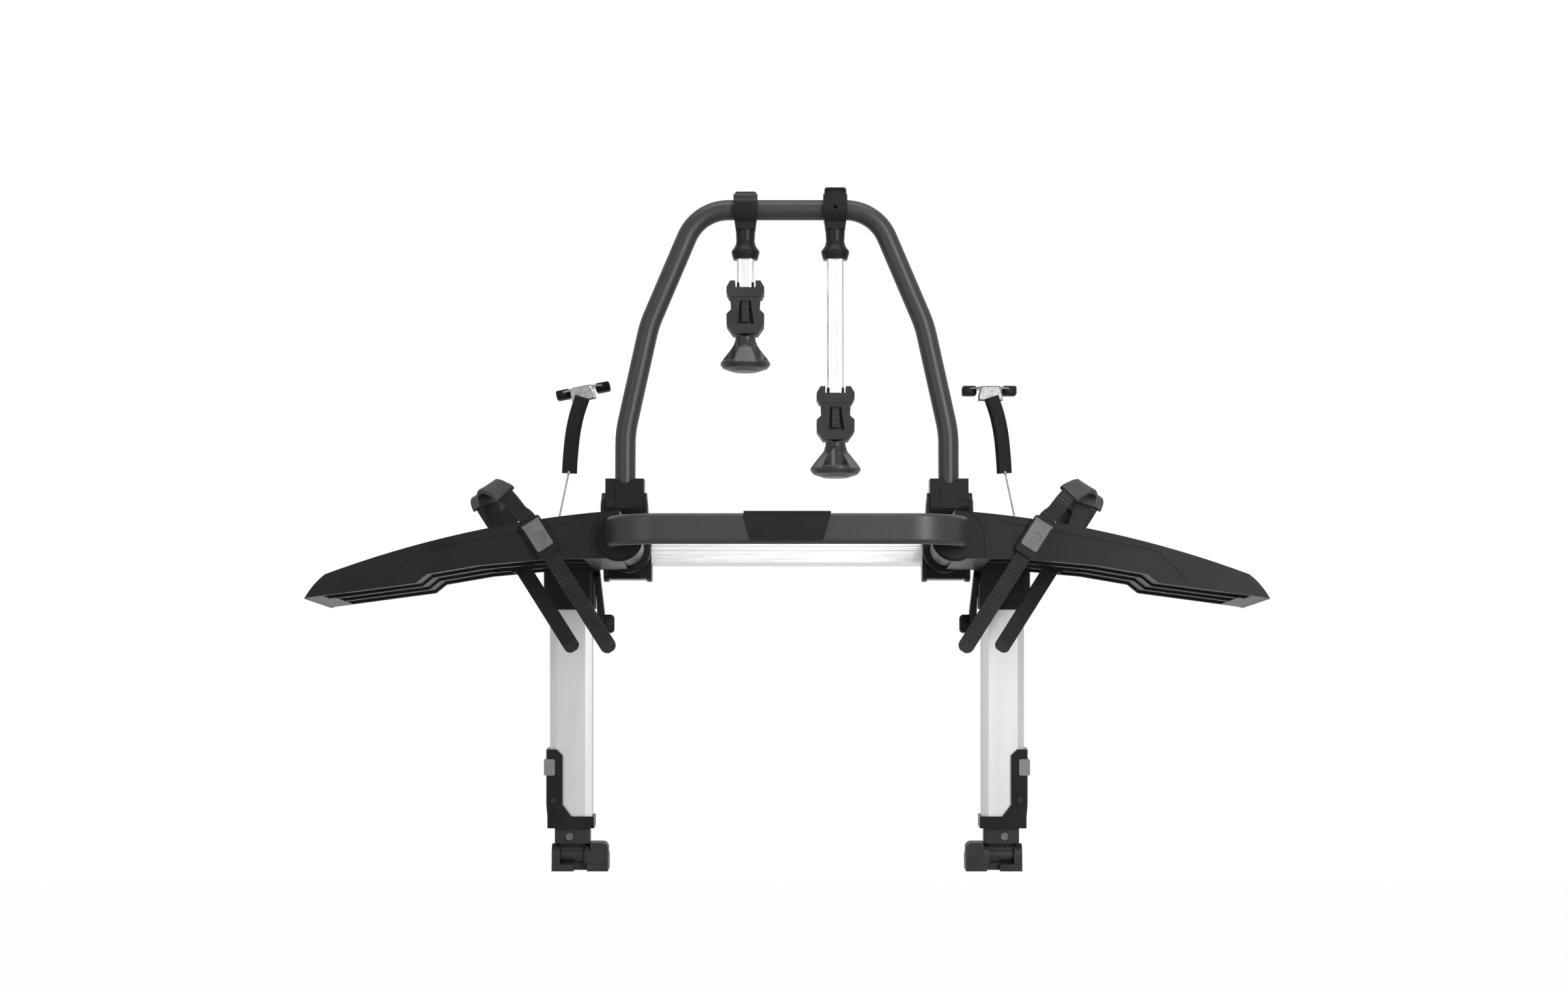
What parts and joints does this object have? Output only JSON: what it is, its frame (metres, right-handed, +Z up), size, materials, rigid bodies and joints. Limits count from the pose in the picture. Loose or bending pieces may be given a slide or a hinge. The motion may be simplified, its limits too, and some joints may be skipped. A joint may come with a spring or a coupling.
{
  "type": "trunk mounted bike rack",
  "caption": "Rear hatch bicycle carrier with leaning aluminium legs, a platform with folding wheel trays, and a bent tube loop with clamping frame holder arms.",
  "frame": {"origin": "midway between the two feet, at their soles, where they stand under the lower edge of the hatch", "axes": "+X to the right seen from behind the car, +Y forward towards the car, +Z up"},
  "size_m": [1.23, 0.4635, 0.9335],
  "materials": {
    "powder_steel": "dark grey powder coat with a fine metallic sparkle",
    "satin_aluminium": "satin anodised",
    "gloss_black": "moulded black, softly glossy",
    "matte_dark": "fine grained dark grey",
    "button_grey": "mid grey moulded",
    "black_rubber": "smooth rubber",
    "bright_steel": "bright zinc and stainless steel"
  },
  "bodies": {
    "frame": {"bracket_screws": "bright_steel", "leg_left": "satin_aluminium", "leg_housing_left": "gloss_black", "foot_bracket_left": "gloss_black", "cable_wire_left": "bright_steel", "cable_sleeve_left": "black_rubber", "hook_plate_left": "bright_steel", "hook_claws_left": "black_rubber", "leg_right": "satin_aluminium", "leg_housing_right": "gloss_black", "foot_bracket_right": "gloss_black", "cable_wire_right": "bright_steel", "cable_sleeve_right": "black_rubber", "hook_plate_right": "bright_steel", "hook_claws_right": "black_rubber"},
    "extension_left": {"extension_tube_left": "satin_aluminium", "neck_block_left": "gloss_black"},
    "sole_left": {"foot_left": "gloss_black"},
    "button_left": {"release_button_left": "button_grey"},
    "support_left": {"support_arm_left": "gloss_black", "support_pad_left": "black_rubber"},
    "extension_right": {"extension_tube_right": "satin_aluminium", "neck_block_right": "gloss_black"},
    "sole_right": {"foot_right": "gloss_black"},
    "button_right": {"release_button_right": "button_grey"},
    "support_right": {"support_arm_right": "gloss_black", "support_pad_right": "black_rubber"},
    "platform": {"crossbar": "satin_aluminium", "hinge_housing_left": "gloss_black", "hinge_housing_right": "gloss_black", "rear_band": "powder_steel", "badge_plate": "gloss_black", "loop_pins": "bright_steel"},
    "tray_left": {"wing_left": "gloss_black", "wheel_straps_left": "matte_dark", "rim_caps_left": "matte_dark", "buckle_frames_left": "gloss_black"},
    "near_latch_left": {"near_lever_left": "matte_dark"},
    "far_latch_left": {"far_lever_left": "matte_dark"},
    "tray_right": {"wing_right": "gloss_black", "wheel_straps_right": "matte_dark", "rim_caps_right": "matte_dark", "buckle_frames_right": "gloss_black"},
    "near_latch_right": {"near_lever_right": "matte_dark"},
    "far_latch_right": {"far_lever_right": "matte_dark"},
    "loop": {"frame_loop": "powder_steel", "loop_socket_left": "gloss_black", "loop_socket_right": "gloss_black"},
    "arm_left": {"arm_clamp_left": "gloss_black"},
    "head_left": {"arm_neck_left": "gloss_black", "arm_tube_left": "satin_aluminium", "upper_jaw_left": "matte_dark"},
    "jaw_left": {"lower_jaw_left": "matte_dark"},
    "knob_left": {"jaw_knob_left": "gloss_black"},
    "arm_right": {"arm_clamp_right": "gloss_black"},
    "head_right": {"arm_neck_right": "gloss_black", "arm_tube_right": "satin_aluminium", "upper_jaw_right": "matte_dark"},
    "jaw_right": {"lower_jaw_right": "matte_dark"},
    "knob_right": {"jaw_knob_right": "gloss_black"}
  },
  "joints": [
    {"name": "extension_slide_left", "type": "slide", "parent": "frame", "child": "extension_left", "axis": [0, 0.0872, -0.9962], "range_m": [0, 0.15]},
    {"name": "foot_tilt_left", "type": "hinge", "parent": "extension_left", "child": "sole_left", "pos_m": [-0.292, -0.00183, 0.02092], "axis": [1, 0, 0], "range_deg": [-25, 25]},
    {"name": "button_press_left", "type": "slide", "parent": "frame", "child": "button_left", "axis": [1, 0, 0], "range_m": [0, 0.0025], "stiffness_N_per_m": 600, "springref_m": -0.003},
    {"name": "support_swing_left", "type": "hinge", "parent": "frame", "child": "support_left", "pos_m": [-0.2555, -0.03, 0.398], "axis": [1, 0, 0], "range_deg": [0, 55]},
    {"name": "extension_slide_right", "type": "slide", "parent": "frame", "child": "extension_right", "axis": [0, 0.0872, -0.9962], "range_m": [0, 0.15]},
    {"name": "foot_tilt_right", "type": "hinge", "parent": "extension_right", "child": "sole_right", "pos_m": [0.292, -0.00183, 0.02092], "axis": [1, 0, 0], "range_deg": [-25, 25]},
    {"name": "button_press_right", "type": "slide", "parent": "frame", "child": "button_right", "axis": [-1, 0, 0], "range_m": [0, 0.0025], "stiffness_N_per_m": 600, "springref_m": -0.003},
    {"name": "support_swing_right", "type": "hinge", "parent": "frame", "child": "support_right", "pos_m": [0.2555, -0.03, 0.398], "axis": [1, 0, 0], "range_deg": [0, 55]},
    {"name": "platform_fold", "type": "hinge", "parent": "frame", "child": "platform", "pos_m": [0, -0.038, 0.434], "axis": [1, 0, 0], "range_deg": [-75, 0]},
    {"name": "wing_fold_left", "type": "hinge", "parent": "platform", "child": "tray_left", "pos_m": [-0.214, -0.194, 0.431], "axis": [0, 1, 0], "range_deg": [0, 88]},
    {"name": "near_latch_lift_left", "type": "hinge", "parent": "tray_left", "child": "near_latch_left", "pos_m": [-0.32696, -0.3204, 0.44955], "axis": [0.8434, 0, 0.5373], "range_deg": [-60, 0]},
    {"name": "far_latch_lift_left", "type": "hinge", "parent": "tray_left", "child": "far_latch_left", "pos_m": [-0.37596, -0.1644, 0.44255], "axis": [0.8434, 0, 0.5373], "range_deg": [-60, 0]},
    {"name": "wing_fold_right", "type": "hinge", "parent": "platform", "child": "tray_right", "pos_m": [0.214, -0.194, 0.431], "axis": [0, -1, 0], "range_deg": [0, 88]},
    {"name": "near_latch_lift_right", "type": "hinge", "parent": "tray_right", "child": "near_latch_right", "pos_m": [0.32696, -0.3204, 0.44955], "axis": [0.8434, 0, -0.5373], "range_deg": [-60, 0]},
    {"name": "far_latch_lift_right", "type": "hinge", "parent": "tray_right", "child": "far_latch_right", "pos_m": [0.37596, -0.1644, 0.44255], "axis": [0.8434, 0, -0.5373], "range_deg": [-60, 0]},
    {"name": "loop_fold", "type": "hinge", "parent": "platform", "child": "loop", "pos_m": [0, -0.038, 0.494], "axis": [-1, 0, 0], "range_deg": [-80, 0]},
    {"name": "arm_swing_left", "type": "hinge", "parent": "loop", "child": "arm_left", "pos_m": [-0.057, -0.038, 0.904], "axis": [-1, 0, 0], "range_deg": [0, 100]},
    {"name": "head_turn_left", "type": "hinge", "parent": "arm_left", "child": "head_left", "pos_m": [-0.057, -0.038, 0.85], "axis": [0, 0, 1], "range_deg": [-90, 90]},
    {"name": "jaw_slide_left", "type": "slide", "parent": "head_left", "child": "jaw_left", "axis": [0, 0, -1], "range_m": [0, 0.016]},
    {"name": "knob_spin_left", "type": "hinge", "parent": "jaw_left", "child": "knob_left", "pos_m": [-0.057, -0.038, 0.7], "axis": [0, 0, 1], "range_deg": [0, 720]},
    {"name": "arm_swing_right", "type": "hinge", "parent": "loop", "child": "arm_right", "pos_m": [0.0665, -0.038, 0.904], "axis": [-1, 0, 0], "range_deg": [0, 100]},
    {"name": "head_turn_right", "type": "hinge", "parent": "arm_right", "child": "head_right", "pos_m": [0.0665, -0.038, 0.85], "axis": [0, 0, 1], "range_deg": [-90, 90]},
    {"name": "jaw_slide_right", "type": "slide", "parent": "head_right", "child": "jaw_right", "axis": [0, 0, -1], "range_m": [0, 0.016]},
    {"name": "knob_spin_right", "type": "hinge", "parent": "jaw_right", "child": "knob_right", "pos_m": [0.0665, -0.038, 0.7], "axis": [0, 0, 1], "range_deg": [0, 720]}
  ],
  "couplings": [
    {"joint": "knob_spin_left", "follows": "jaw_slide_left", "rad_per_m": 785.4},
    {"joint": "knob_spin_right", "follows": "jaw_slide_right", "rad_per_m": 785.4}
  ]
}
